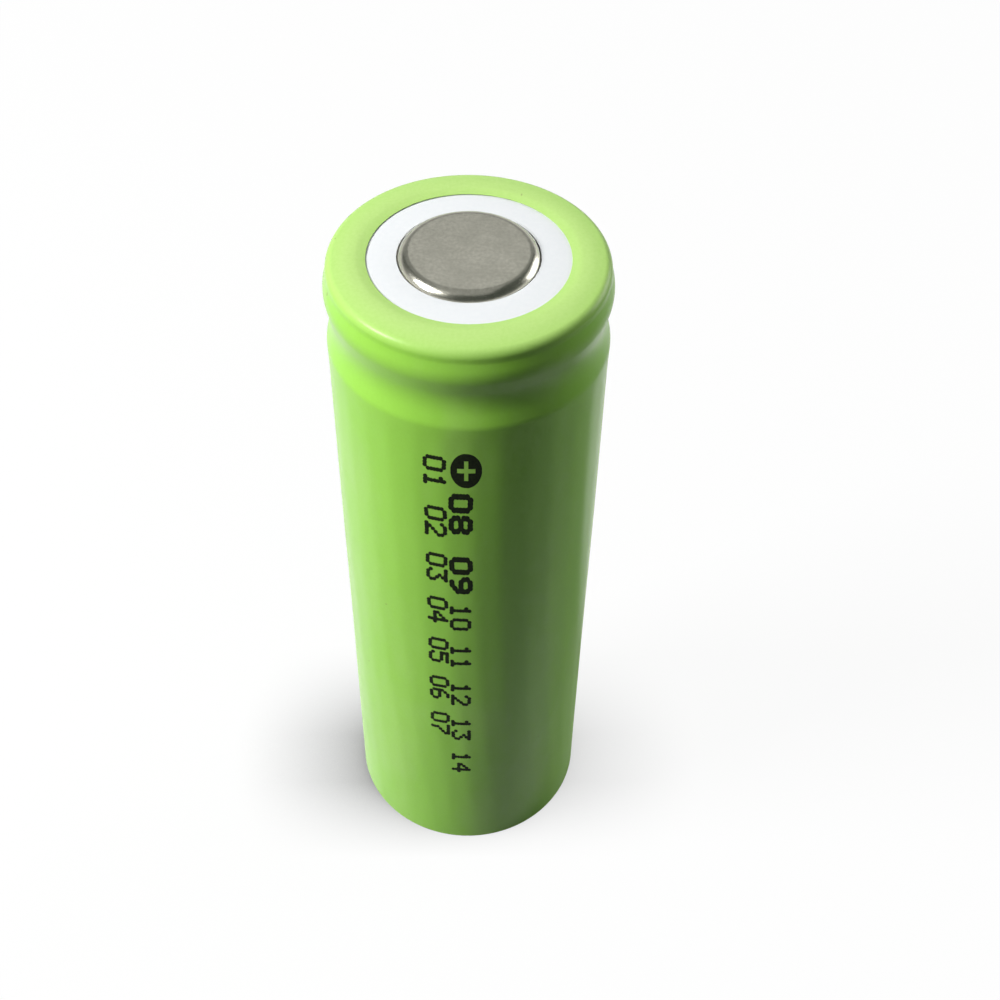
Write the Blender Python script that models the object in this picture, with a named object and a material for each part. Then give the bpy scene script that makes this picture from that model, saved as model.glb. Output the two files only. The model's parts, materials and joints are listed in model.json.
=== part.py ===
"""A sleeved cylindrical nickel metal hydride cell of A size, built as its separate pieces.

Units are metres and +Z is up. The origin is the middle of the face that the cell stands on.
The cell is a steel can, drawn in one piece, with a bead rolled in below its rim. The electrode roll
stands in the can. The seal plate, with the flat cap welded on it, is crimped into the rim in a nylon
gasket, and a rubber plug between plate and cap is the vent that opens under pressure and closes again.
A white ring lies round the cap, and a shrunk film sleeve holds it and covers the can.
"""

import math

import bmesh
import bpy
from mathutils import Matrix, Vector

# Outside sizes
CELL_DIAMETER = 0.0165
CELL_HEIGHT = 0.04975
CAP_PROUD = 0.00035

# Clearances: what touches on the real cell, the ring's hole round the cap, the roll in the can
FIT_GAP = 0.00005
CAP_RING_GAP = 0.00006
ROLL_GAP = 0.0001

# Sleeve: its film, how far it turns in over the two ends, and the rounding of these
SLEEVE_WALL = 0.00012
SLEEVE_TOP_LIP = 0.0025
SLEEVE_BASE_LIP = 0.00265
SLEEVE_RIM_FILLET = 0.00085
SLEEVE_BASE_FILLET = 0.00022

# The film spans the bead: where it leaves the can above and below, how deep it sags, and its soft bends
SLEEVE_SPAN_START = 0.0001
SLEEVE_SPAN_END = 0.0002
SLEEVE_SPAN_DROP = 0.0021
SLEEVE_SPAN_DEPTH = 0.00065
SLEEVE_RIM_BEND = 0.0005
SLEEVE_GROOVE_BEND = 0.0016
SLEEVE_FLANK_BEND = 0.0012

# Can: its sheet, the rolled bead, the rim drawn in to the crimped lip, and the base's contact face
CAN_WALL = 0.00025
BEAD_DEPTH = 0.00145
BEAD_FLANK = 0.00363
BEAD_NOSE_FILLET = 0.00035
BEAD_SEAT_FILLET = 0.0003
BEAD_FLANK_FILLET = 0.0020
RIM_TAPER = 0.00015
CRIMP_FILLET = 0.0006
CRIMP_LIP_WIDTH = 0.00155
CONTACT_STEP = 0.0001
CONTACT_MARGIN = 0.0003
CONTACT_SLOPE = 0.0003

# White ring, whose inner edge stands up because the film presses its rim down
RING_THICKNESS = 0.0002
RING_RISE = 0.0001

# Seal plate, gasket and cap
SEAL_PLATE_THICKNESS = 0.0004
SEAL_DISH_DEPTH = 0.0006
SEAL_DISH_SLOPE = 0.0004
SEAL_DISH_FILLET = 0.0003
VENT_HOLE_RADIUS = 0.0010
GASKET_WALL = 0.00025
GASKET_FOOT_WIDTH = 0.00135
GASKET_LIP_WIDTH = 0.0014
GASKET_FILLET = 0.0003
CAP_DIAMETER = 0.0081
CAP_SHEET = 0.00025
CAP_EDGE_SHARE = 0.74
CAP_ROOT_SHARE = 0.15
CAP_FLANGE_GAP = 0.00045
CAP_VENT_COUNT = 3
CAP_VENT_RADIUS = 0.00015

# Vent plug, its room in the seal plate's dish, and how far pressure lifts it
PLUG_RADIUS = 0.0018
PLUG_SIDE_GAP = 0.0006
PLUG_CHAMFER = 0.0002
VENT_TRAVEL = 0.0003

# Electrode roll: the layers of one turn, its core, and how far each layer's edge is set back
SEPARATOR_THICKNESS = 0.00012
POSITIVE_THICKNESS = 0.00062
NEGATIVE_THICKNESS = 0.00036
CORE_RADIUS = 0.0015
EDGE_STEP = 0.0006
SEPARATOR_LEAD = 12

# Collectors, lead strip and upper insulator
COLLECTOR_MARGIN = 0.0012
COLLECTOR_SHEET = 0.00022
COLLECTOR_HOLE_COUNT = 6
COLLECTOR_HOLE_RADIUS = 0.0007
DIMPLE_RADIUS = 0.0010
DIMPLE_SLOPE = 0.0004
LEAD_SHEET = 0.00015
LEAD_WIDTH = 0.0040
LEAD_FOOT = 0.0030
LEAD_BEND = 0.0009
LEAD_GAP = 0.0003
INSULATOR_THICKNESS = 0.0004
INSULATOR_OVERLAP = 0.0007

# How finely round shapes are drawn
ROUND_STEPS = 36
LOOP_STEPS = 24
HOLE_STEPS = 10
ARC_STEP = math.radians(32)
SHARP_ANGLE = math.radians(35)
WELD_DISTANCE = 1e-6

# Radii worked out from the outside in
CELL_RADIUS = CELL_DIAMETER / 2
CAP_RADIUS = CAP_DIAMETER / 2
CAN_RADIUS = CELL_RADIUS - SLEEVE_WALL - FIT_GAP
CAN_INNER_RADIUS = CAN_RADIUS - CAN_WALL
COLLECTOR_RADIUS = CAN_INNER_RADIUS - COLLECTOR_MARGIN
INSULATOR_INNER_RADIUS = COLLECTOR_RADIUS - INSULATOR_OVERLAP
SEAL_DISH_RADIUS = PLUG_RADIUS + PLUG_SIDE_GAP

# Heights worked out from the top down
SLEEVE_TOP = CELL_HEIGHT - CAP_PROUD
RING_SEAT = SLEEVE_TOP - SLEEVE_WALL - FIT_GAP - RING_THICKNESS
CAN_TOP = RING_SEAT - FIT_GAP
GASKET_TOP = CAN_TOP - CAN_WALL - FIT_GAP
SEAL_TOP = GASKET_TOP - GASKET_WALL - FIT_GAP
SEAL_UNDER = SEAL_TOP - SEAL_PLATE_THICKNESS
GASKET_SEAT = SEAL_UNDER - FIT_GAP - GASKET_WALL
BEAD_TOP = GASKET_SEAT - FIT_GAP - CAN_WALL
BEAD_LOW = BEAD_TOP - BEAD_FLANK
CAP_SEAT = SEAL_TOP + FIT_GAP
PLUG_SEAT = SEAL_TOP - SEAL_DISH_DEPTH + FIT_GAP

# The rim leans in towards its lip, so what it holds is narrower at its top than at its foot
RIM_SLOPE = RIM_TAPER / (CAN_TOP - BEAD_TOP)
GASKET_FOOT_RADIUS = CAN_INNER_RADIUS - FIT_GAP - RIM_SLOPE * (GASKET_SEAT - BEAD_TOP)
GASKET_LIP_RADIUS = CAN_INNER_RADIUS - FIT_GAP - RIM_SLOPE * (GASKET_TOP - BEAD_TOP)
SEAL_PLATE_RADIUS = GASKET_LIP_RADIUS - GASKET_WALL - FIT_GAP
CAP_FLANGE_RADIUS = GASKET_LIP_RADIUS - GASKET_LIP_WIDTH - CAP_FLANGE_GAP

# The flank of the bead leaves the straight wall over this length, on the can's inner face
BEAD_HALF_TURN = math.atan2(BEAD_DEPTH, BEAD_FLANK) / 2
BEAD_RUN_IN = BEAD_FLANK_FILLET * math.tan(BEAD_HALF_TURN)

# Heights of the roll and what lies on its two ends
INSULATOR_SEAT = BEAD_LOW - BEAD_RUN_IN - FIT_GAP - INSULATOR_THICKNESS
POSITIVE_COLLECTOR_SEAT = INSULATOR_SEAT - FIT_GAP - COLLECTOR_SHEET
POSITIVE_TOP = POSITIVE_COLLECTOR_SEAT - FIT_GAP
CAN_BASE = SLEEVE_WALL + FIT_GAP
NEGATIVE_COLLECTOR_SEAT = CAN_BASE + CAN_WALL + FIT_GAP
NEGATIVE_LOW = NEGATIVE_COLLECTOR_SEAT + COLLECTOR_SHEET + FIT_GAP

# One turn of the roll takes in two separators, both electrodes and the gaps between them
WIND_PITCH = 2 * SEPARATOR_THICKNESS + POSITIVE_THICKNESS + NEGATIVE_THICKNESS + 4 * FIT_GAP
ROLL_DEPTH = CAN_INNER_RADIUS - ROLL_GAP - CORE_RADIUS
ROLL_STATIONS = math.floor(LOOP_STEPS * ((ROLL_DEPTH + FIT_GAP) / WIND_PITCH - 1))


def clear_scene():
    for item in list(bpy.data.objects):
        bpy.data.objects.remove(item, do_unlink=True)


def finish(name, colour, roughness, metallic=0.0):
    """A Principled BSDF material of one colour."""
    material = bpy.data.materials.new(name)
    material.use_nodes = True
    shader = material.node_tree.nodes["Principled BSDF"]
    shader.inputs["Base Color"].default_value = (*colour, 1.0)
    shader.inputs["Roughness"].default_value = roughness
    shader.inputs["Metallic"].default_value = metallic
    return material


def left_of(direction):
    return Vector((-direction.y, direction.x))


def offset_corners(corners, distance):
    """A line of (x, height, fillet) corners moved to its left, with each fillet kept concentric."""
    places = [Vector(corner[:2]) for corner in corners]
    runs = [(b - a).normalized() for a, b in zip(places, places[1:])]
    moved = []
    for place, fillet, before, after in zip(
        places, (corner[2] for corner in corners), runs[:1] + runs, runs + runs[-1:]
    ):
        shift = (left_of(before) + left_of(after)) / (1 + before.dot(after))
        turns_left = before.cross(after) > 0
        kept = fillet + (-distance if turns_left else distance)
        moved.append((*(place + distance * shift), max(kept, 0.0) if fillet else 0.0))
    return moved


def rounded(corners):
    """Points along a line of (x, height, fillet) corners, with an arc at each fillet."""
    places = [Vector(corner[:2]) for corner in corners]
    points = [places[0]]
    for (_, _, fillet), a, b, c in zip(corners[1:], places, places[1:], places[2:]):
        before, after = (b - a).normalized(), (c - b).normalized()
        turn = math.atan2(before.cross(after), before.dot(after))
        if not fillet:
            points.append(b)
            continue
        start = b - before * fillet * math.tan(abs(turn) / 2)
        centre = start + left_of(before) * math.copysign(fillet, turn)
        steps = max(1, math.ceil(abs(turn) / ARC_STEP))
        for step in range(steps + 1):
            points.append(centre + Matrix.Rotation(turn * step / steps, 2) @ (start - centre))
    points.append(places[-1])
    return points


def sheet(corners, thickness):
    """Closed section of a sheet bent along corners on one face, with its other face to the left."""
    return rounded(corners) + rounded(offset_corners(corners, thickness))[::-1]


def placed(name, shape, material, seat):
    """Makes the shape a named object of the cell, at the height that it sits at."""
    bmesh.ops.remove_doubles(shape, verts=shape.verts, dist=WELD_DISTANCE)
    bmesh.ops.recalc_face_normals(shape, faces=shape.faces)
    mesh = bpy.data.meshes.new(name)
    shape.to_mesh(mesh)
    shape.free()
    mesh.materials.append(material)
    mesh.shade_smooth()
    mesh.set_sharp_from_angle(angle=SHARP_ANGLE)
    item = bpy.data.objects.new(name, mesh)
    bpy.context.scene.collection.objects.link(item)
    item.parent = bpy.data.objects["cell"]
    item.location.z = seat
    return item


def turned(name, section, material, seat=0.0):
    """A closed section of (radius, height) points, turned about the cell's axis."""
    shape = bmesh.new()
    points = [shape.verts.new((radius, 0.0, height)) for radius, height in section]
    edges = [
        shape.edges.new((a, b))
        for a, b in zip(points, points[1:] + points[:1])
        if max(a.co.x, b.co.x) > WELD_DISTANCE
    ]
    bmesh.ops.spin(
        shape,
        geom=points + edges,
        axis=(0.0, 0.0, 1.0),
        cent=(0.0, 0.0, 0.0),
        angle=2 * math.pi,
        steps=ROUND_STEPS,
        use_merge=True,
    )
    return placed(name, shape, material, seat)


def pierced(item, radius, depth, places):
    """Cuts round holes through a piece. Each place is a matrix that carries a drill along its own Z."""
    shape = bmesh.new()
    for place in places:
        bmesh.ops.create_cone(
            shape,
            cap_ends=True,
            segments=HOLE_STEPS,
            radius1=radius,
            radius2=radius,
            depth=depth,
            matrix=place,
        )
    mesh = bpy.data.meshes.new(item.name + "_drill")
    shape.to_mesh(mesh)
    shape.free()
    drill = bpy.data.objects.new(mesh.name, mesh)
    bpy.context.scene.collection.objects.link(drill)
    drill.parent = item
    drill.hide_render = True
    drill.display_type = "WIRE"
    cut = item.modifiers.new("holes", "BOOLEAN")
    cut.operation = "DIFFERENCE"
    cut.object = drill


def around(count, start=0.0):
    """Turns about the cell's axis that share it out evenly."""
    return [Matrix.Rotation(start + 2 * math.pi * i / count, 4, "Z") for i in range(count)]


def wound_strip(name, inset, thickness, first, low, high, material):
    """One layer of the roll: a strip on its edge that winds outwards from its first station."""
    shape = bmesh.new()
    before = None
    for station in range(first, ROLL_STATIONS + 1):
        turn = station / LOOP_STEPS
        inner = CORE_RADIUS + WIND_PITCH * turn + inset
        outer = inner + thickness
        corners = [(inner, 0.0), (outer, 0.0), (outer, high - low), (inner, high - low)]
        spoke = Matrix.Rotation(2 * math.pi * turn, 3, "Z")
        now = [shape.verts.new(spoke @ Vector((radius, 0.0, z))) for radius, z in corners]
        if before is None:
            shape.faces.new(now)
        else:
            for side in range(4):
                after = (side + 1) % 4
                shape.faces.new((before[side], before[after], now[after], now[side]))
        before = now
    shape.faces.new(before)
    return placed(name, shape, material, low)


def make_sleeve():
    """Shrunk film: open at both ends, drawn over the rim and the base, and slack across the bead."""
    rim_foot = BEAD_TOP + SLEEVE_SPAN_START
    film = [
        (CELL_RADIUS - SLEEVE_BASE_LIP, 0.0, 0.0),
        (CELL_RADIUS, 0.0, SLEEVE_BASE_FILLET),
        (CELL_RADIUS, BEAD_LOW + SLEEVE_SPAN_END, SLEEVE_FLANK_BEND),
        (CELL_RADIUS - SLEEVE_SPAN_DEPTH, rim_foot - SLEEVE_SPAN_DROP, SLEEVE_GROOVE_BEND),
        (CELL_RADIUS, rim_foot, SLEEVE_RIM_BEND),
        (CELL_RADIUS - RIM_TAPER, SLEEVE_TOP, SLEEVE_RIM_FILLET),
        (CELL_RADIUS - SLEEVE_TOP_LIP, SLEEVE_TOP, 0.0),
    ]
    turned("sleeve", sheet(film, SLEEVE_WALL), finish("green_film", (0.22, 0.50, 0.04), 0.38))


def make_can():
    """Drawn steel cup: contact face, base corner, wall, bead with a level seat, and crimped lip."""
    contact_edge = CELL_RADIUS - SLEEVE_BASE_LIP - CONTACT_MARGIN
    base_fillet = SLEEVE_BASE_FILLET - SLEEVE_WALL - FIT_GAP
    wall = [
        (0.0, CAN_BASE - CONTACT_STEP, 0.0),
        (contact_edge - CONTACT_SLOPE, CAN_BASE - CONTACT_STEP, 0.0),
        (contact_edge, CAN_BASE, 0.0),
        (CAN_RADIUS, CAN_BASE, base_fillet),
        (CAN_RADIUS, BEAD_LOW, BEAD_FLANK_FILLET),
        (CAN_RADIUS - BEAD_DEPTH, BEAD_TOP, BEAD_NOSE_FILLET),
        (CAN_RADIUS, BEAD_TOP, BEAD_SEAT_FILLET),
        (CAN_RADIUS - RIM_TAPER, CAN_TOP, CRIMP_FILLET),
        (CAN_RADIUS - RIM_TAPER - CRIMP_LIP_WIDTH, CAN_TOP, 0.0),
    ]
    turned("can", sheet(wall, CAN_WALL), finish("plated_steel", (0.62, 0.61, 0.58), 0.28, 1.0))


def make_insulation_ring():
    """White washer: it lies on the crimped lip, round the cap, with its rim under the sleeve."""
    inner = CAP_RADIUS + CAP_RING_GAP
    held = CELL_RADIUS - SLEEVE_TOP_LIP
    outer = CELL_RADIUS - RIM_TAPER - SLEEVE_RIM_FILLET
    section = [
        (inner, RING_RISE),
        (held, 0.0),
        (outer, 0.0),
        (outer, RING_THICKNESS),
        (held, RING_THICKNESS),
        (inner, RING_RISE + RING_THICKNESS),
    ]
    turned("insulation_ring", section, finish("white_fibre", (0.86, 0.87, 0.88), 0.6), RING_SEAT)


def make_positive_cap():
    """Flat-topped steel cap with a welding flange, and vent holes low in its flank."""
    top = CELL_HEIGHT - CAP_SEAT
    flank = top - CAP_SHEET
    root_fillet = CAP_ROOT_SHARE * flank
    face = [
        (CAP_FLANGE_RADIUS, CAP_SHEET, 0.0),
        (CAP_RADIUS, CAP_SHEET, root_fillet),
        (CAP_RADIUS, top, CAP_EDGE_SHARE * flank),
        (0.0, top, 0.0),
    ]
    steel = finish("cap_steel", (0.56, 0.55, 0.51), 0.3, 1.0)
    cap = turned("positive_cap", sheet(face, CAP_SHEET), steel, CAP_SEAT)
    level = CAP_SHEET + root_fillet
    reach = Matrix.Translation((CAP_RADIUS, 0.0, level)) @ Matrix.Rotation(math.pi / 2, 4, "Y")
    start = math.pi / CAP_VENT_COUNT
    pierced(cap, CAP_VENT_RADIUS, CAP_RADIUS, [turn @ reach for turn in around(CAP_VENT_COUNT, start)])


def make_vent_plug():
    """Rubber plug: it closes the hole in the seal plate, with room to lift below the cap."""
    height = CELL_HEIGHT - CAP_SHEET - FIT_GAP - VENT_TRAVEL - PLUG_SEAT
    section = [
        (0.0, 0.0),
        (PLUG_RADIUS - PLUG_CHAMFER, 0.0),
        (PLUG_RADIUS, PLUG_CHAMFER),
        (PLUG_RADIUS, height - PLUG_CHAMFER),
        (PLUG_RADIUS - PLUG_CHAMFER, height),
        (0.0, height),
    ]
    turned("vent_plug", section, finish("black_rubber", (0.02, 0.02, 0.02), 0.8), PLUG_SEAT)


def make_seal_plate():
    """Steel plate that closes the can, with a dish for the plug and the vent hole in its middle."""
    face = [
        (SEAL_PLATE_RADIUS, 0.0, 0.0),
        (SEAL_DISH_RADIUS + SEAL_DISH_SLOPE, 0.0, SEAL_DISH_FILLET),
        (SEAL_DISH_RADIUS, -SEAL_DISH_DEPTH, SEAL_DISH_FILLET),
        (VENT_HOLE_RADIUS, -SEAL_DISH_DEPTH, 0.0),
    ]
    steel = finish("seal_steel", (0.60, 0.59, 0.56), 0.35, 1.0)
    turned("seal_plate", sheet(face, SEAL_PLATE_THICKNESS), steel, SEAL_TOP)


def make_gasket():
    """Nylon channel round the seal plate's edge, which the crimped lip squeezes shut."""
    height = GASKET_TOP - GASKET_SEAT
    channel = [
        (GASKET_FOOT_RADIUS - GASKET_FOOT_WIDTH, 0.0, 0.0),
        (GASKET_FOOT_RADIUS, 0.0, GASKET_FILLET),
        (GASKET_LIP_RADIUS, height, GASKET_FILLET),
        (GASKET_LIP_RADIUS - GASKET_LIP_WIDTH, height, 0.0),
    ]
    nylon = finish("clear_nylon", (0.75, 0.74, 0.68), 0.45)
    turned("gasket", sheet(channel, GASKET_WALL), nylon, GASKET_SEAT)


def collector_holes():
    """Holes on a circle, in the thickness of a collector."""
    reach = Matrix.Translation(((CORE_RADIUS + COLLECTOR_RADIUS) / 2, 0.0, COLLECTOR_SHEET / 2))
    start = math.pi / COLLECTOR_HOLE_COUNT
    return [turn @ reach for turn in around(COLLECTOR_HOLE_COUNT, start)]


def make_positive_collector():
    """Pierced disc, welded to the positive electrode's upper edge, open over the core."""
    section = [
        (CORE_RADIUS, 0.0),
        (COLLECTOR_RADIUS, 0.0),
        (COLLECTOR_RADIUS, COLLECTOR_SHEET),
        (CORE_RADIUS, COLLECTOR_SHEET),
    ]
    nickel = finish("collector_nickel", (0.58, 0.57, 0.54), 0.4, 1.0)
    disc = turned("positive_collector", section, nickel, POSITIVE_COLLECTOR_SEAT)
    pierced(disc, COLLECTOR_HOLE_RADIUS, 4 * COLLECTOR_SHEET, collector_holes())


def make_negative_collector():
    """Pierced disc under the negative electrode, with a dimple welded to the can's base."""
    face = [
        (0.0, -CONTACT_STEP, 0.0),
        (DIMPLE_RADIUS, -CONTACT_STEP, 0.0),
        (DIMPLE_RADIUS + DIMPLE_SLOPE, 0.0, 0.0),
        (COLLECTOR_RADIUS, 0.0, 0.0),
    ]
    nickel = finish("base_nickel", (0.58, 0.57, 0.54), 0.42, 1.0)
    disc = turned("negative_collector", sheet(face, COLLECTOR_SHEET), nickel, NEGATIVE_COLLECTOR_SEAT)
    pierced(disc, COLLECTOR_HOLE_RADIUS, 4 * COLLECTOR_SHEET, collector_holes())


def make_positive_lead():
    """Nickel strip folded between the collector and the seal plate, to which its ends are welded."""
    seat = POSITIVE_COLLECTOR_SEAT + COLLECTOR_SHEET + FIT_GAP
    height = SEAL_UNDER - FIT_GAP - seat
    reach = math.sqrt((INSULATOR_INNER_RADIUS - LEAD_GAP) ** 2 - (LEAD_WIDTH / 2) ** 2)
    pad = SEAL_DISH_RADIUS + SEAL_DISH_SLOPE + SEAL_PLATE_THICKNESS + LEAD_GAP
    fold = [
        (reach - LEAD_FOOT, 0.0, 0.0),
        (reach, 0.0, LEAD_BEND),
        (reach, height, LEAD_BEND),
        (pad, height, 0.0),
    ]
    shape = bmesh.new()
    side = [shape.verts.new((x, -LEAD_WIDTH / 2, z)) for x, z in sheet(fold, LEAD_SHEET)]
    across = bmesh.ops.extrude_face_region(shape, geom=[shape.faces.new(side)])["geom"]
    far_side = [part for part in across if isinstance(part, bmesh.types.BMVert)]
    bmesh.ops.translate(shape, verts=far_side, vec=(0.0, LEAD_WIDTH, 0.0))
    placed("positive_lead", shape, finish("lead_nickel", (0.60, 0.59, 0.57), 0.33, 1.0), seat)


def make_upper_insulator():
    """Washer between the positive collector and the can, open in the middle for the lead."""
    outer = CAN_INNER_RADIUS - ROLL_GAP
    section = [
        (INSULATOR_INNER_RADIUS, 0.0),
        (outer, 0.0),
        (outer, INSULATOR_THICKNESS),
        (INSULATOR_INNER_RADIUS, INSULATOR_THICKNESS),
    ]
    turned("upper_insulator", section, finish("insulator", (0.82, 0.80, 0.74), 0.6), INSULATOR_SEAT)


def make_roll():
    """Both electrodes and the two separators between them, wound together round an open core."""
    separator_low = NEGATIVE_LOW + EDGE_STEP
    separator_high = POSITIVE_TOP - EDGE_STEP
    fleece = finish("fleece", (0.80, 0.80, 0.77), 0.9)
    layers = [
        ("separator_inner", SEPARATOR_THICKNESS, -SEPARATOR_LEAD, separator_low, separator_high, fleece),
        (
            "positive_electrode",
            POSITIVE_THICKNESS,
            0,
            separator_low + EDGE_STEP,
            POSITIVE_TOP,
            finish("nickel_foam", (0.09, 0.10, 0.09), 0.85),
        ),
        ("separator_outer", SEPARATOR_THICKNESS, -SEPARATOR_LEAD, separator_low, separator_high, fleece),
        (
            "negative_electrode",
            NEGATIVE_THICKNESS,
            0,
            NEGATIVE_LOW,
            separator_high - EDGE_STEP,
            finish("hydride_alloy", (0.13, 0.13, 0.13), 0.7, 0.4),
        ),
    ]
    inset = 0.0
    for name, thickness, first, low, high, material in layers:
        wound_strip(name, inset, thickness, first, low, high, material)
        inset += thickness + FIT_GAP


def build():
    clear_scene()
    bpy.context.scene.collection.objects.link(bpy.data.objects.new("cell", None))
    make_sleeve()
    make_can()
    make_insulation_ring()
    make_positive_cap()
    make_vent_plug()
    make_seal_plate()
    make_gasket()
    make_positive_lead()
    make_upper_insulator()
    make_positive_collector()
    make_roll()
    make_negative_collector()


build()
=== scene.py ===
import json
import math

import bmesh
import bpy
from mathutils import Euler, Matrix, Vector

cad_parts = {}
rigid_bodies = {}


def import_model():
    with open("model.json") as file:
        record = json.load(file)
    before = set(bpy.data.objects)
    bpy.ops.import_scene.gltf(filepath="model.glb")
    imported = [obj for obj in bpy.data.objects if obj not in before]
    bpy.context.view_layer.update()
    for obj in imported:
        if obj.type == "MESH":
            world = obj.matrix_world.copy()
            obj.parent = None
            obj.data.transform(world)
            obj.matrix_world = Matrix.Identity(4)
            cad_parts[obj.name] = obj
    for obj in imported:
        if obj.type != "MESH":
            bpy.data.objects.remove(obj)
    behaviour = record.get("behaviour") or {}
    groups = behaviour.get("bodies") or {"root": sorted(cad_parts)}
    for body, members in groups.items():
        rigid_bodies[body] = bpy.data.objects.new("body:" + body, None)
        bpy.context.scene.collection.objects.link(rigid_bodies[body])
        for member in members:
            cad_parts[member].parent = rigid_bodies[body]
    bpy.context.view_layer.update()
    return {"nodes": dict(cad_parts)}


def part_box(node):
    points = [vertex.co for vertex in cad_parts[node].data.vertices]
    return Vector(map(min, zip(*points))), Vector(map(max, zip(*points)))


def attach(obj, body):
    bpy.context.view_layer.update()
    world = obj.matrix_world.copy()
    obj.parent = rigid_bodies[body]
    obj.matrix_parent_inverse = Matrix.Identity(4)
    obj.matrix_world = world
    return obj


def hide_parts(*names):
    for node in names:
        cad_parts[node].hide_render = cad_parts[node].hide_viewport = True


for startup_object in list(bpy.data.objects):
    bpy.data.objects.remove(startup_object, do_unlink=True)

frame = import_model()
nodes = frame["nodes"]

# Can: a cup deep-drawn from nickel plated steel strip, beaded below its rim and crimped over the seal.
# Only its base shows, through the sleeve's lower opening, where it is the negative terminal.
can_low, can_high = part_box("can")
can_radius = can_high.x
can_sheet = 0.00025
can_contact_radius = 0.0050
can_contact_slope = 0.0003
can_contact_step = 0.0001
can_base_corner = 0.00005
can_bead_top = 0.04738
can_bead_depth = 0.00145
can_bead_flank = 0.00363
can_rim_taper = 0.00025
can_lip_width = 0.00155
can_flank_bend = 0.0020
can_nose_bend = 0.00035
can_seat_bend = 0.0003
can_crimp_bend = 0.0007
TURN_STEPS = 192


def left_of(direction):
    return Vector((-direction.y, direction.x))


def soft_line(corners, steps_per_turn=48, stride=1.0):
    """Points along (radius, height, fillet) corners: a fine arc at each fillet, and a point to each stride."""
    places = [Vector(corner[:2]) for corner in corners]
    bends = [places[0]]
    for (_, _, fillet), a, b, c in zip(corners[1:], places, places[1:], places[2:]):
        before, after = (b - a).normalized(), (c - b).normalized()
        turn = math.atan2(before.cross(after), before.dot(after))
        if not fillet:
            bends.append(b)
            continue
        start = b - before * fillet * math.tan(abs(turn) / 2)
        centre = start + left_of(before) * math.copysign(fillet, turn)
        steps = max(3, math.ceil(steps_per_turn * abs(turn) / (2 * math.pi)))
        for step in range(steps + 1):
            bends.append(centre + Matrix.Rotation(turn * step / steps, 2) @ (start - centre))
    bends.append(places[-1])
    points = [bends[0]]
    for a, b in zip(bends, bends[1:]):
        parts = max(1, math.ceil((b - a).length / stride))
        points.extend(a.lerp(b, part / parts) for part in range(1, parts + 1))
    return points


def inner_line(corners, thickness):
    """The corners of a sheet's other face, thickness to the left, with concentric fillets."""
    places = [Vector(corner[:2]) for corner in corners]
    runs = [(b - a).normalized() for a, b in zip(places, places[1:])]
    moved = []
    for (_, _, fillet), place, before, after in zip(corners, places, runs[:1] + runs, runs + runs[-1:]):
        shift = (left_of(before) + left_of(after)) / (1 + before.dot(after))
        kept = fillet - thickness if before.cross(after) > 0 else fillet + thickness
        moved.append((*(place + thickness * shift), max(kept, 0.0) if fillet else 0.0))
    return moved


def finished(name, shape, sharp=40):
    """Makes a shape a smooth-shaded object, with its edges kept where it turns sharply."""
    bmesh.ops.recalc_face_normals(shape, faces=shape.faces)
    mesh = bpy.data.meshes.new(name)
    shape.to_mesh(mesh)
    shape.free()
    mesh.shade_smooth()
    mesh.set_sharp_from_angle(angle=math.radians(sharp))
    piece = bpy.data.objects.new(name, mesh)
    bpy.context.scene.collection.objects.link(piece)
    return piece


def turned_piece(name, section, steps=TURN_STEPS, ripple=None):
    """A closed section turned about the cell's axis. A ripple moves each point a little, as film does."""
    shape = bmesh.new()
    rings = []
    for radius, height in section:
        if radius < 1e-7:
            rings.append([shape.verts.new((0.0, 0.0, height))])
            continue
        ring = []
        for step in range(steps):
            angle = 2 * math.pi * step / steps
            out, up = ripple(radius, height, angle) if ripple else (0.0, 0.0)
            reach = radius + out
            ring.append(shape.verts.new((reach * math.cos(angle), reach * math.sin(angle), height + up)))
        rings.append(ring)
    for a, b in zip(rings, rings[1:] + rings[:1]):
        if len(a) == 1 and len(b) == 1:
            continue
        for step in range(steps):
            after = (step + 1) % steps
            corners = [a[step % len(a)], b[step % len(b)], b[after % len(b)], a[after % len(a)]]
            shape.faces.new(list(dict.fromkeys(corners)))
    return finished(name, shape)


def node_material(name):
    """An empty procedural material: its nodes, its links, its shader and its place on the object."""
    material = bpy.data.materials.new(name)
    material.use_nodes = True
    tree = material.node_tree
    place = tree.nodes.new("ShaderNodeTexCoord").outputs["Object"]
    return material, tree.nodes, tree.links.new, tree.nodes["Principled BSDF"], place


def noise(made, link, place, scale, detail=4.0, stretch=(1.0, 1.0, 1.0)):
    """Cloudy values, with so many clouds to the metre, that can be stretched along an axis."""
    mapping = made.new("ShaderNodeMapping")
    mapping.inputs["Scale"].default_value = stretch
    link(place, mapping.inputs["Vector"])
    clouds = made.new("ShaderNodeTexNoise")
    clouds.inputs["Scale"].default_value = scale
    clouds.inputs["Detail"].default_value = detail
    link(mapping.outputs["Vector"], clouds.inputs["Vector"])
    return clouds.outputs["Fac"]


def ramp(made, link, value, *stops):
    """Colours along a value: each stop is a position and a colour."""
    colours = made.new("ShaderNodeValToRGB")
    for i, (position, colour) in enumerate(stops):
        spot = colours.color_ramp.elements[i] if i < 2 else colours.color_ramp.elements.new(position)
        spot.position = position
        spot.color = (*colour, 1.0)
    link(value, colours.inputs["Fac"])
    return colours.outputs["Color"]


def spread(made, link, value, low, high, start=0.3, end=0.7):
    """A value from start to end spread between low and high. Noise mostly runs from 0.3 to 0.7."""
    limits = made.new("ShaderNodeMapRange")
    limits.inputs["From Min"].default_value = start
    limits.inputs["From Max"].default_value = end
    limits.inputs["To Min"].default_value = low
    limits.inputs["To Max"].default_value = high
    link(value, limits.inputs["Value"])
    return limits.outputs["Result"]


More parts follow.
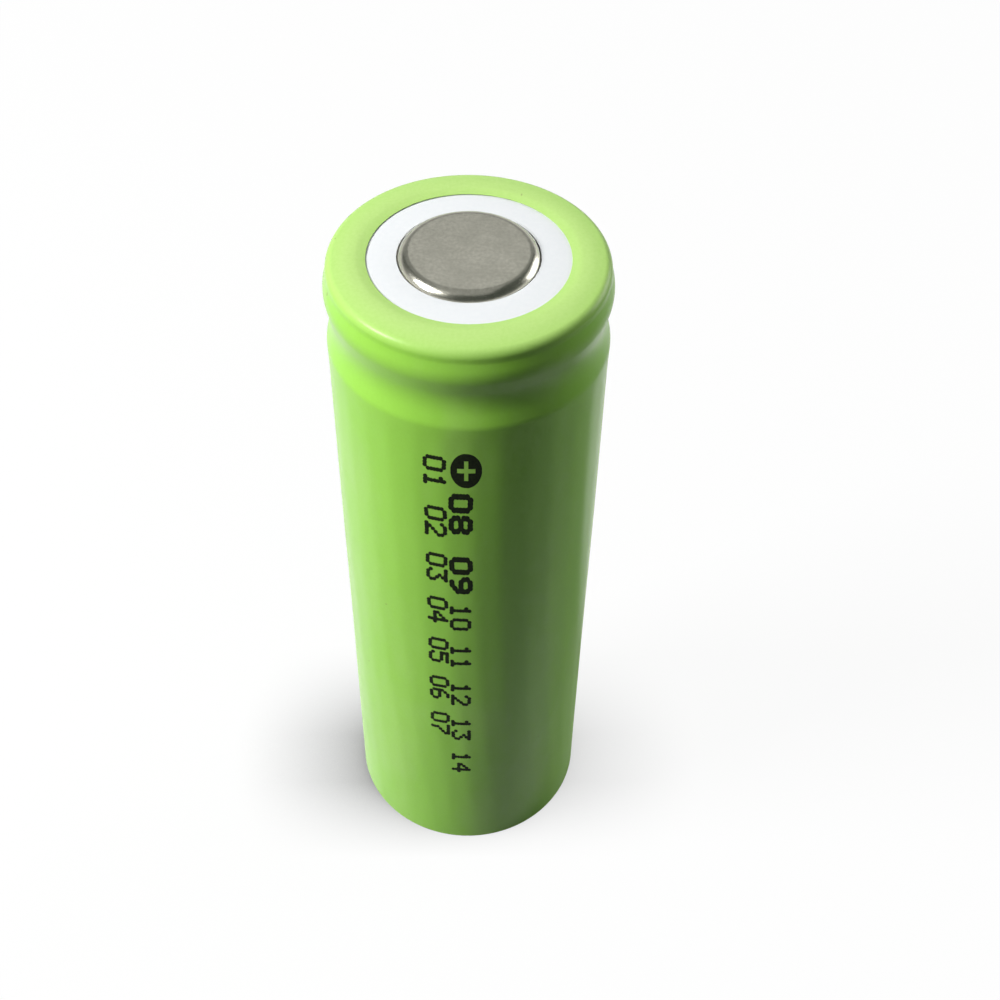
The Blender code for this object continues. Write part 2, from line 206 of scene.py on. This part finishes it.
def blended(made, link, share, under, over):
    """One colour over another, by a share from 0 to 1. Each colour is a socket or a plain colour."""
    mix = made.new("ShaderNodeMix")
    mix.data_type = "RGBA"
    link(share, mix.inputs["Factor"])
    for socket, colour in ((mix.inputs["A"], under), (mix.inputs["B"], over)):
        if isinstance(colour, tuple):
            socket.default_value = (*colour, 1.0)
        else:
            link(colour, socket)
    return mix.outputs["Result"]


def bump(made, link, shader, value, depth):
    """Small relief, depth in metres between the value's 0 and 1."""
    relief = made.new("ShaderNodeBump")
    relief.inputs["Distance"].default_value = depth
    link(value, relief.inputs["Height"])
    link(relief.outputs["Normal"], shader.inputs["Normal"])


def plated_steel(name, dark, light, smooth, rough, grain):
    """Nickel plate: cloudy, with a fine grain, brighter where it has been rubbed."""
    material, made, link, shader, place = node_material(name)
    clouds = noise(made, link, place, grain)
    link(ramp(made, link, clouds, (0.3, dark), (0.7, light)), shader.inputs["Base Color"])
    link(spread(made, link, clouds, smooth, rough), shader.inputs["Roughness"])
    shader.inputs["Metallic"].default_value = 1.0
    bump(made, link, shader, noise(made, link, place, grain * 6), 0.000004)
    return material


def dress(node, material):
    """Gives a CAD node that stays its finish."""
    nodes[node].data.materials.clear()
    nodes[node].data.materials.append(material)


can_wall = [
    (0.0, can_low.z, 0.0),
    (can_contact_radius, can_low.z, can_contact_step),
    (can_contact_radius + can_contact_slope, can_low.z + can_contact_step, can_contact_step),
    (can_radius, can_low.z + can_contact_step, can_base_corner),
    (can_radius, can_bead_top - can_bead_flank, can_flank_bend),
    (can_radius - can_bead_depth, can_bead_top, can_nose_bend),
    (can_radius, can_bead_top, can_seat_bend),
    (can_radius - can_rim_taper, can_high.z, can_crimp_bend),
    (can_radius - can_rim_taper - can_lip_width, can_high.z, 0.0),
]
can_section = soft_line(can_wall) + soft_line(inner_line(can_wall, can_sheet))[::-1]
can = turned_piece("can_steel", can_section)
can_plate = plated_steel("can_plate", (0.50, 0.49, 0.46), (0.66, 0.65, 0.61), 0.20, 0.34, 900)
can.data.materials.append(can_plate)
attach(can, "cell")
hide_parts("can")

# Electrode roll: two pasted strips and two fleece separators, wound together round a mandrel that is drawn
# out again. Collector discs are welded to the strips' bare edges at the roll's two ends.
pasted_strips = {
    "positive_electrode": ((0.020, 0.024, 0.020), (0.065, 0.075, 0.062)),
    "negative_electrode": ((0.045, 0.045, 0.046), (0.105, 0.104, 0.102)),
}
for strip, (dark, light) in pasted_strips.items():
    material, made, link, shader, place = node_material(strip + "_paste")
    pores = noise(made, link, place, 9000, 8.0)
    link(ramp(made, link, pores, (0.35, dark), (0.65, light)), shader.inputs["Base Color"])
    link(spread(made, link, pores, 0.7, 0.95), shader.inputs["Roughness"])
    bump(made, link, shader, pores, 0.00002)
    dress(strip, material)
fleece, made, link, shader, place = node_material("fleece")
fibres = noise(made, link, place, 6000, 6.0, (1.0, 1.0, 0.2))
fleece_tone = ramp(made, link, fibres, (0.3, (0.62, 0.62, 0.59)), (0.7, (0.84, 0.84, 0.82)))
link(fleece_tone, shader.inputs["Base Color"])
link(spread(made, link, fibres, 0.8, 1.0), shader.inputs["Roughness"])
bump(made, link, shader, fibres, 0.00002)
for strip in ("separator_inner", "separator_outer"):
    dress(strip, fleece)
collector_plate = plated_steel("collector_plate", (0.46, 0.45, 0.42), (0.62, 0.61, 0.58), 0.28, 0.45, 1500)
for disc in ("positive_collector", "negative_collector"):
    dress(disc, collector_plate)

# Lead strip: pure nickel ribbon, welded flat to the collector and to the seal plate and folded between them
# when the can is closed.
lead_ribbon = plated_steel("lead_ribbon", (0.55, 0.54, 0.51), (0.68, 0.67, 0.64), 0.22, 0.36, 2000)
dress("positive_lead", lead_ribbon)

# Upper insulator and gasket: a washer punched from plastic sheet, and a moulded nylon channel that the crimp
# squeezes round the seal plate.
for plastic, dark, light in (
    ("upper_insulator", (0.66, 0.65, 0.58), (0.76, 0.75, 0.70)),
    ("gasket", (0.60, 0.59, 0.53), (0.72, 0.71, 0.66)),
):
    material, made, link, shader, place = node_material(plastic + "_plastic")
    haze = noise(made, link, place, 1200)
    link(ramp(made, link, haze, (0.3, dark), (0.7, light)), shader.inputs["Base Color"])
    link(spread(made, link, haze, 0.4, 0.6), shader.inputs["Roughness"])
    bump(made, link, shader, haze, 0.00001)
    dress(plastic, material)

# Seal plate and vent plug: a dished steel plate with a hole, and the rubber plug that closes the hole until
# pressure lifts it.
seal_steel = plated_steel("seal_steel", (0.52, 0.51, 0.48), (0.66, 0.65, 0.61), 0.24, 0.40, 1500)
dress("seal_plate", seal_steel)
rubber, made, link, shader, place = node_material("plug_rubber")
bloom = noise(made, link, place, 3000, 6.0)
black = ramp(made, link, bloom, (0.3, (0.012, 0.012, 0.012)), (0.7, (0.035, 0.034, 0.033)))
link(black, shader.inputs["Base Color"])
link(spread(made, link, bloom, 0.65, 0.9), shader.inputs["Roughness"])
bump(made, link, shader, bloom, 0.00001)
dress("vent_plug", rubber)

# Positive cap: pressed from plated strip, with a flat top, a rolled edge and a flange that is welded to the
# seal plate. Gas leaves through three holes low in its flank. Tumbling has left its top finely mottled.
cap_low, cap_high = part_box("positive_cap")
cap_radius = 0.00405
cap_sheet = 0.00025
cap_edge = 0.000792
cap_root = 0.00016
cap_vent_radius = 0.00015
cap_vents = 3
cap_first_vent = math.pi / 3
cap_face = [
    (cap_high.x, cap_low.z + cap_sheet, 0.0),
    (cap_radius, cap_low.z + cap_sheet, cap_root),
    (cap_radius, cap_high.z, cap_edge),
    (0.0, cap_high.z, 0.0),
]
cap_section = soft_line(cap_face, 120) + soft_line(inner_line(cap_face, cap_sheet), 72)[::-1]
cap = turned_piece("positive_cap_steel", cap_section)
vent_drill = bmesh.new()
for vent in range(cap_vents):
    turn = Matrix.Rotation(cap_first_vent + 2 * math.pi * vent / cap_vents, 4, "Z")
    reach = Matrix.Translation((cap_radius, 0.0, cap_low.z + cap_sheet + cap_root))
    bmesh.ops.create_cone(
        vent_drill,
        cap_ends=True,
        segments=24,
        radius1=cap_vent_radius,
        radius2=cap_vent_radius,
        depth=cap_radius,
        matrix=turn @ reach @ Matrix.Rotation(math.pi / 2, 4, "Y"),
    )
drill = finished("vent_drill", vent_drill)
cut = cap.modifiers.new("vents", "BOOLEAN")
cut.object = drill
cut.operation = "DIFFERENCE"
cut_cap = bpy.data.meshes.new_from_object(cap.evaluated_get(bpy.context.evaluated_depsgraph_get()))
cap.modifiers.clear()
cap.data = cut_cap
bpy.data.objects.remove(drill, do_unlink=True)
cap_finish, made, link, shader, place = node_material("cap_nickel")
mottle = noise(made, link, place, 5200, 8.0)
clouds = noise(made, link, place, 700, 4.0)
plate = ramp(made, link, mottle, (0.32, (0.58, 0.56, 0.48)), (0.68, (0.70, 0.68, 0.59)))
clouded = blended(made, link, spread(made, link, clouds, 0.0, 0.5), plate, (0.52, 0.51, 0.43))
link(clouded, shader.inputs["Base Color"])
link(spread(made, link, clouds, 0.19, 0.27), shader.inputs["Roughness"])
shader.inputs["Metallic"].default_value = 1.0
bump(made, link, shader, mottle, 0.000004)
cap.data.materials.clear()
cap.data.materials.append(cap_finish)
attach(cap, "cell")
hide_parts("positive_cap")

# Insulation ring: a washer punched from white fibre card. It lies on the crimped rim, round the cap, and the
# sleeve is shrunk over its edge, so that its inner edge stands up a little.
ring_low, ring_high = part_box("insulation_ring")
ring_card = 0.0002
ring_hole_top = 0.00400
ring_hole_foot = 0.00410
ring_held_radius = 0.00575
ring_squeezed = 0.00009
ring_sag = 0.00004
ring_edge = 0.00004
ring_under_bend = 0.0004
ring_upper_bend = 0.0008
ring_seam_radius = 0.0048
ring_seam_lift = 0.00006
ring_seam_end_radius = 0.0047
ring_seam_end_lift = 0.000066
ring_profile = [
    (ring_seam_radius, ring_low.z + ring_seam_lift, 0.0),
    (ring_held_radius, ring_low.z, ring_under_bend),
    (ring_high.x, ring_low.z - ring_sag, ring_edge),
    (ring_high.x, ring_low.z - ring_sag + ring_squeezed, ring_edge),
    (ring_held_radius, ring_low.z + ring_card, ring_upper_bend),
    (ring_hole_top, ring_high.z, ring_edge),
    (ring_hole_foot, ring_high.z - ring_card, ring_edge),
    (ring_seam_end_radius, ring_low.z + ring_seam_end_lift, 0.0),
]
ring = turned_piece("insulation_ring_card", soft_line(ring_profile))
card, made, link, shader, place = node_material("white_card")
fibres = noise(made, link, place, 4000, 6.0)
white_tone = ramp(made, link, fibres, (0.3, (0.83, 0.85, 0.875)), (0.7, (0.86, 0.875, 0.895)))
link(white_tone, shader.inputs["Base Color"])
link(spread(made, link, fibres, 0.5, 0.7), shader.inputs["Roughness"])
bump(made, link, shader, fibres, 0.000003)
ring.data.materials.append(card)
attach(ring, "cell")
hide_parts("insulation_ring")

# Sleeve: a tube of green film, shrunk by heat over the can and its ring. It turns in over both ends, hugs the
# rim and spans the bead below it in a soft hollow. It is paler where it is scuffed, and its turned-in top is
# painted paler as a painted highlight. Shrinking leaves slight waves up its wall and puckers under its base.
sleeve_low, sleeve_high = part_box("sleeve")
film = 0.00012
film_radius = sleeve_high.x
film_top_opening = 0.00575
film_base_opening = 0.0056
film_base_bend = 0.00018
film_wall_top = 0.04393
film_wall_bend = 0.0018
film_hollow_height = 0.04552
film_hollow_depth = 0.00045
film_hollow_bend = 0.0035
film_foot_height = 0.04753
film_foot_flare = 0.00006
film_foot_bend = 0.0021
film_waist_height = 0.04850
film_waist_depth = 0.00020
film_waist_bend = 0.0010
film_lip_drop = 0.0002
film_lip_taper = 0.00024
film_lip_bend = 0.00055
film_dome_radius = 0.0069
film_dome_drop = 0.00001
film_dome_bend = 0.0030
film_crown_radius = 0.0063
film_crown_bend = 0.0015
film_mouth_drop = 0.0001
film_wave = 0.000012
film_wave_rest = 2.3
film_wave_swing = 0.5
film_wave_terms = ((1.0, 5, 9, 0.6), (1.0, 9, -14, 2.1), (0.6, 17, 6, 4.0))
film_wave_top = 0.0438
film_wave_top_fade = 0.0015
film_wave_base_fade = 0.006
film_wave_radius = 0.0079
film_wave_radius_fade = 0.0002
film_pucker = 0.000045
film_puckers = 23
film_pucker_radius = 0.0078
film_pucker_fade = 0.0010
film_pucker_top = 0.001
film_line = [
    (film_base_opening, sleeve_low.z, 0.0),
    (film_radius, sleeve_low.z, film_base_bend),
    (film_radius, film_wall_top, film_wall_bend),
    (film_radius - film_hollow_depth, film_hollow_height, film_hollow_bend),
    (film_radius + film_foot_flare, film_foot_height, film_foot_bend),
    (film_radius - film_waist_depth, film_waist_height, film_waist_bend),
    (film_radius - film_lip_taper, sleeve_high.z - film_lip_drop, film_lip_bend),
    (film_dome_radius, sleeve_high.z - film_dome_drop, film_dome_bend),
    (film_crown_radius, sleeve_high.z, film_crown_bend),
    (film_top_opening, sleeve_high.z - film_mouth_drop, 0.0),
]


def from_0_to_1(value):
    return min(1.0, max(0.0, value))


def film_ripple(radius, height, angle):
    """How far the shrunk film dips: long waves up the wall, and puckers where it turns in under the base."""
    along = height / sleeve_high.z
    waves = sum(
        share * math.sin(turns * angle + climb * along + start)
        for share, turns, climb, start in film_wave_terms
    )
    waves += math.sin(31 * angle + 11 * along + 2.0 * math.sin(4 * along))
    wall = from_0_to_1((film_wave_top - height) / film_wave_top_fade)
    wall *= from_0_to_1((radius - film_wave_radius) / film_wave_radius_fade)
    out = -film_wave * wall * from_0_to_1(height / film_wave_base_fade)
    out *= film_wave_rest + film_wave_swing * waves
    under = from_0_to_1((film_pucker_radius - radius) / film_pucker_fade) if height < film_pucker_top else 0.0
    folds = max(0.0, math.sin(film_puckers * angle + 2.0 * math.sin(3 * angle))) ** 2
    return out, film_pucker * under * folds


film_outside = soft_line(film_line, 96, 0.0006)
film_under = film_line[:-1] + [(film_top_opening, sleeve_high.z, 0.0)]
film_inside = soft_line(inner_line(film_under, film), 48, 0.002)[::-1]
sleeve = turned_piece("sleeve_film", film_outside + film_inside, 288, film_ripple)
green_film, made, link, shader, place = node_material("green_film")
clouds = noise(made, link, place, 260, 3.0, (1.0, 1.0, 0.30))
grain = noise(made, link, place, 5200, 2.0)
tone = ramp(made, link, clouds, (0.3, (0.340, 0.730, 0.076)), (0.7, (0.370, 0.760, 0.090)))
where = made.new("ShaderNodeSeparateXYZ")
link(place, where.inputs["Vector"])
# Painted highlight: the film's colour is painted paler from 48.7 to 49.4 mm up, over its turned-in top.
painted_top_highlight = spread(made, link, where.outputs["Z"], 0.0, 1.0, 0.0487, 0.0494)
scuffs = spread(made, link, noise(made, link, place, 230, 6.0, (1.0, 1.0, 0.45)), 0.0, 0.26, 0.46, 0.70)
rubbed = blended(made, link, scuffs, tone, (0.50, 0.77, 0.23))
with_painted_top_highlight = blended(made, link, painted_top_highlight, rubbed, (0.53, 0.78, 0.245))
mottled = blended(made, link, spread(made, link, grain, 0.0, 0.14), with_painted_top_highlight, (0.30, 0.62, 0.06))
specks = spread(made, link, noise(made, link, place, 1500, 1.0), 0.0, 0.6, 0.800, 0.825)
link(blended(made, link, specks, mottled, (0.16, 0.14, 0.03)), shader.inputs["Base Color"])
link(spread(made, link, clouds, 0.34, 0.44), shader.inputs["Roughness"])
shader.inputs["Specular IOR Level"].default_value = 0.02
shader.inputs["Coat Weight"].default_value = 1.0
shader.inputs["Coat IOR"].default_value = 1.25
shader.inputs["Coat Roughness"].default_value = 0.26
bump(made, link, shader, noise(made, link, place, 1800, 3.0), 0.000004)
sleeve.data.materials.append(green_film)
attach(sleeve, "cell")
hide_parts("sleeve")

# Print: plain counting numbers in two columns that read downwards, and a plus sign left open in a solid oval.
# An ink jet sets each figure as rows of fast-drying black drops, so that its strokes are a little ragged.
ink_thickness = 0.000003
ink_thickness_step = 0.0000005
ink_lift = 0.000001
ink_wander = 0.05
ink_drop_corners = 12
ink_drop_across = 0.000186
ink_drop_along = 0.000233
ink_fill = 0.74
figure_rows = {
    "0": "01110 10001 10001 10001 10001 10001 01110",
    "1": "00100 01100 00100 00100 00100 00100 01110",
    "2": "01110 10001 00001 00010 00100 01000 11111",
    "3": "11111 00010 00100 00010 00001 10001 01110",
    "4": "00010 00110 01010 10010 11111 00010 00010",
    "5": "11111 10000 11110 00001 00001 10001 01110",
    "6": "00110 01000 10000 11110 10001 10001 01110",
    "7": "11111 00001 00010 00100 01000 01000 01000",
    "8": "01110 10001 10001 01110 10001 10001 01110",
    "9": "01110 10001 10001 01111 00001 00010 01100",
}
print_shape = bmesh.new()


def ink_patch(outline, thickness=ink_thickness):
    """A thin patch of ink on the wall: its outline is (degrees to the right of the front, height) points."""
    rings = []
    for lift in (ink_lift, thickness):
        ring = []
        for degrees, height in outline:
            angle = math.radians(degrees - 90)
            reach = film_radius + film_ripple(film_radius, height, angle)[0] + lift
            ring.append(print_shape.verts.new((reach * math.cos(angle), reach * math.sin(angle), height)))
        rings.append(ring)
    under, over = rings
    print_shape.faces.new(over)
    print_shape.faces.new(under[::-1])
    for i in range(len(outline)):
        after = (i + 1) % len(outline)
        print_shape.faces.new((under[i], under[after], over[after], over[i]))


def degrees_of(width):
    return math.degrees(width / film_radius)


def print_column(figures, middle, top, advance, stretch=1.0, fill=ink_fill):
    """Figures that read downwards, with their heads to the right, from a middle line and a top height."""
    for place_in_row, figure in enumerate(figures):
        if figure == " ":
            continue
        for row, drops in enumerate(figure_rows[figure].split()):
            for column, drop in enumerate(drops):
                if drop == "0":
                    continue
                wander = ink_wander * math.sin(7.3 * place_in_row + 3.1 * row + 1.7 * column)
                across = middle + degrees_of((3 - row + wander) * ink_drop_across)
                along = top - place_in_row * advance - (column + 0.5 - wander) * ink_drop_along * stretch
                turns = [2 * math.pi * corner / ink_drop_corners for corner in range(ink_drop_corners)]
                drop_edge = [
                    (
                        across + degrees_of(fill * ink_drop_across * math.cos(turn)),
                        along + fill * ink_drop_along * stretch * math.sin(turn),
                    )
                    for turn in turns
                ]
                ink_patch(drop_edge, ink_thickness + ink_thickness_step * ((row + 2 * column) % 4))


print_column("01 02 03 04 05 06 07", middle=-13.6, top=0.0416, advance=0.00140)
print_column("08 09", middle=-3.2, top=0.0386, advance=0.00186, stretch=1.25, fill=0.92)
print_column("10 11 12 13 14", middle=-3.5, top=0.0285, advance=0.00140)
plus_middle = -1.0
plus_height = 0.0406
plus_across = 0.00090
plus_along = 0.00140
plus_arm_across = 0.00052
plus_arm_along = 0.00080
plus_bar_across = 0.00012
plus_bar_along = 0.00018
plus_arm_rows = [0.00060, 0.00038]
plus_patches = 5
plus_rows = [share * plus_along for share in (0.99, 0.95, 0.88, 0.78, 0.68)]
plus_rows += [plus_arm_along, *plus_arm_rows, plus_bar_along]
plus_rows = [-row for row in plus_rows] + plus_rows[::-1]
for low, high in zip(plus_rows, plus_rows[1:]):
    middle = abs(low + high) / 2
    opening = 0.0
    if middle < plus_bar_along:
        opening = plus_arm_across
    elif middle < plus_arm_along:
        opening = plus_bar_across
    reach_low, reach_high = (plus_across * math.sqrt(1 - (row / plus_along) ** 2) for row in (low, high))
    for side in (-1, 1):
        for part in range(plus_patches):
            ink_patch([
                (
                    plus_middle + side * degrees_of(opening + (reach - opening) * share / plus_patches),
                    plus_height + row,
                )
                for reach, row, share in (
                    (reach_low, low, part),
                    (reach_low, low, part + 1),
                    (reach_high, high, part + 1),
                    (reach_high, high, part),
                )
            ])
figures_print = finished("figures_print", print_shape)
ink, made, link, shader, place = node_material("black_ink")
coverage = noise(made, link, place, 7000, 4.0)
ink_tone = ramp(made, link, coverage, (0.3, (0.004, 0.006, 0.003)), (0.75, (0.020, 0.030, 0.010)))
link(ink_tone, shader.inputs["Base Color"])
link(spread(made, link, coverage, 0.45, 0.7), shader.inputs["Roughness"])
shader.inputs["Specular IOR Level"].default_value = 0.05
bump(made, link, shader, coverage, 0.000003)
figures_print.data.materials.append(ink)
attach(figures_print, "cell")

# Ground: a plain pale table. Seen directly it is white, with a painted shadow close round the cell, beside it
# and stronger on its left, and a faint real shadow from the lamps. The film and the cap mirror it as the lamps
# light it, and it throws little light back.
table_reach = 2.0
table_drop = 0.00002
table_colour = (0.86, 0.86, 0.86)
table_dim_colour = (0.05, 0.05, 0.05)
table_white_share = 0.94
shadow_reach = 0.0105
shadow_depth = 0.68
shadow_front = (-0.0100, -0.0034)
shadow_back = (0.0010, 0.0100)
shadow_side = (-0.0040, 0.0060)
shadow_right_share = 0.45


def reckoned(made, link, operation, first, second):
    """Two values put together by an operation, such as the greater of the two or their product."""
    reckoning = made.new("ShaderNodeMath")
    reckoning.operation = operation
    link(first, reckoning.inputs[0])
    link(second, reckoning.inputs[1])
    return reckoning.outputs["Value"]


table_shape = bmesh.new()
bmesh.ops.create_grid(table_shape, x_segments=1, y_segments=1, size=table_reach)
table = finished("table", table_shape)
table.location.z = -table_drop
table_white = bpy.data.materials.new("table_white")
table_white.use_nodes = True
made, link = table_white.node_tree.nodes, table_white.node_tree.links.new
made.remove(made["Principled BSDF"])
paths = made.new("ShaderNodeLightPath")
mirrored = reckoned(made, link, "MAXIMUM", paths.outputs["Is Glossy Ray"], paths.outputs["Is Transmission Ray"])
# Painted shadow: the seen white is darkened by ambient occlusion close to the cell. It fades to the cell's
# front and back and is weaker to its right.
nearness = made.new("ShaderNodeAmbientOcclusion")
nearness.inputs["Distance"].default_value = shadow_reach
spot = made.new("ShaderNodeSeparateXYZ")
link(made.new("ShaderNodeTexCoord").outputs["Object"], spot.inputs["Vector"])
behind = spread(made, link, spot.outputs["Y"], 0.0, 1.0, *shadow_front)
before = spread(made, link, spot.outputs["Y"], 1.0, 0.0, *shadow_back)
leftward = spread(made, link, spot.outputs["X"], 1.0, shadow_right_share, *shadow_side)
painted_shadow = spread(made, link, nearness.outputs["AO"], shadow_depth, 0.0, 0.5, 1.0)
for share in (behind, before, leftward):
    painted_shadow = reckoned(made, link, "MULTIPLY", painted_shadow, share)
white = made.new("ShaderNodeEmission")
link(ramp(made, link, painted_shadow, (0.0, (1.0, 1.0, 1.0)), (1.0, (0.0, 0.0, 0.0))), white.inputs["Color"])
shaded = made.new("ShaderNodeBsdfDiffuse")
shaded.inputs["Color"].default_value = (*table_colour, 1.0)
lit = made.new("ShaderNodeMixShader")
lit.inputs["Fac"].default_value = table_white_share
link(shaded.outputs["BSDF"], lit.inputs[1])
link(white.outputs["Emission"], lit.inputs[2])
dim = made.new("ShaderNodeBsdfDiffuse")
dim.inputs["Color"].default_value = (*table_dim_colour, 1.0)
reflected = made.new("ShaderNodeMixShader")
link(mirrored, reflected.inputs["Fac"])
link(dim.outputs["BSDF"], reflected.inputs[1])
link(shaded.outputs["BSDF"], reflected.inputs[2])
choice = made.new("ShaderNodeMixShader")
link(paths.outputs["Is Camera Ray"], choice.inputs["Fac"])
link(reflected.outputs["Shader"], choice.inputs[1])
link(lit.outputs["Shader"], choice.inputs[2])
link(choice.outputs["Shader"], made["Material Output"].inputs["Surface"])
table.data.materials.append(table_white)

# Studio: one soft lamp high on the left and a weak one low on the right, behind. A dim panel, a wall and a
# ceiling are there for the cap to mirror. The room is white where it is seen, and mirrored white low down.
room_fill = (0.0775, 0.088, 0.0775)
room_white = (0.95, 0.95, 0.95)
lamp_aim = Vector((0.0, 0.0, 0.03))
room = bpy.data.worlds.new("room")
room.use_nodes = True
made, link = room.node_tree.nodes, room.node_tree.links.new
paths = made.new("ShaderNodeLightPath")
mirrored = reckoned(made, link, "MAXIMUM", paths.outputs["Is Glossy Ray"], paths.outputs["Is Transmission Ray"])
bearing = made.new("ShaderNodeSeparateXYZ")
link(made.new("ShaderNodeTexCoord").outputs["Generated"], bearing.inputs["Vector"])
low_down = spread(made, link, bearing.outputs["Z"], 1.0, 0.0, 0.10, 0.30)
mirrored = reckoned(made, link, "MULTIPLY", mirrored, low_down)
seen = reckoned(made, link, "MAXIMUM", paths.outputs["Is Camera Ray"], mirrored)
glow = blended(made, link, seen, room_fill, room_white)
link(glow, made["Background"].inputs["Color"])
bpy.context.scene.world = room


def soft_lamp(name, azimuth, elevation, distance, size, power):
    """A square lamp that faces the cell's middle. Azimuth 0 is in front, and it turns to the right."""
    lamp = bpy.data.lights.new(name, "AREA")
    lamp.size = size
    lamp.energy = power
    holder = bpy.data.objects.new(name, lamp)
    out = Vector((
        math.sin(math.radians(azimuth)) * math.cos(math.radians(elevation)),
        -math.cos(math.radians(azimuth)) * math.cos(math.radians(elevation)),
        math.sin(math.radians(elevation)),
    ))
    holder.location = lamp_aim + distance * out
    holder.rotation_euler = out.to_track_quat("Z", "Y").to_euler()
    bpy.context.scene.collection.objects.link(holder)


soft_lamp("left_lamp", azimuth=-77, elevation=40, distance=0.40, size=0.14, power=2.05)
soft_lamp("back_panel", azimuth=178, elevation=48, distance=0.60, size=0.32, power=0.11)
soft_lamp("back_wall", azimuth=182, elevation=42, distance=0.90, size=1.10, power=0.70)
soft_lamp("ceiling", azimuth=0, elevation=86, distance=0.60, size=0.50, power=0.22)
soft_lamp("right_lamp", azimuth=118, elevation=14, distance=0.45, size=0.24, power=0.78)

# Camera: held above and in front of the cell, looking down at it from close by.
CAMERA_BACK = 0.064837
CAMERA_UP = 0.100331
CAMERA_DOWN_TILT = 0.8314
CAMERA_TURN = 0.0317
CAMERA_ROLL = 0.0249
CAMERA_LENS = 52.785
CAMERA_SENSOR = 36.0
CAMERA_NEAR = 0.005
camera_data = bpy.data.cameras.new("camera")
camera_data.sensor_width = CAMERA_SENSOR
camera_data.lens = CAMERA_LENS
camera_data.clip_start = CAMERA_NEAR
camera = bpy.data.objects.new("camera", camera_data)
camera.location = (0.0, -CAMERA_BACK, CAMERA_UP)
level = Euler((math.pi / 2 - CAMERA_DOWN_TILT, 0.0, -CAMERA_TURN)).to_matrix()
camera.rotation_euler = (level @ Matrix.Rotation(CAMERA_ROLL, 3, "Z")).to_euler()
bpy.context.scene.collection.objects.link(camera)
bpy.context.scene.camera = camera
bpy.context.scene.view_settings.view_transform = "Standard"
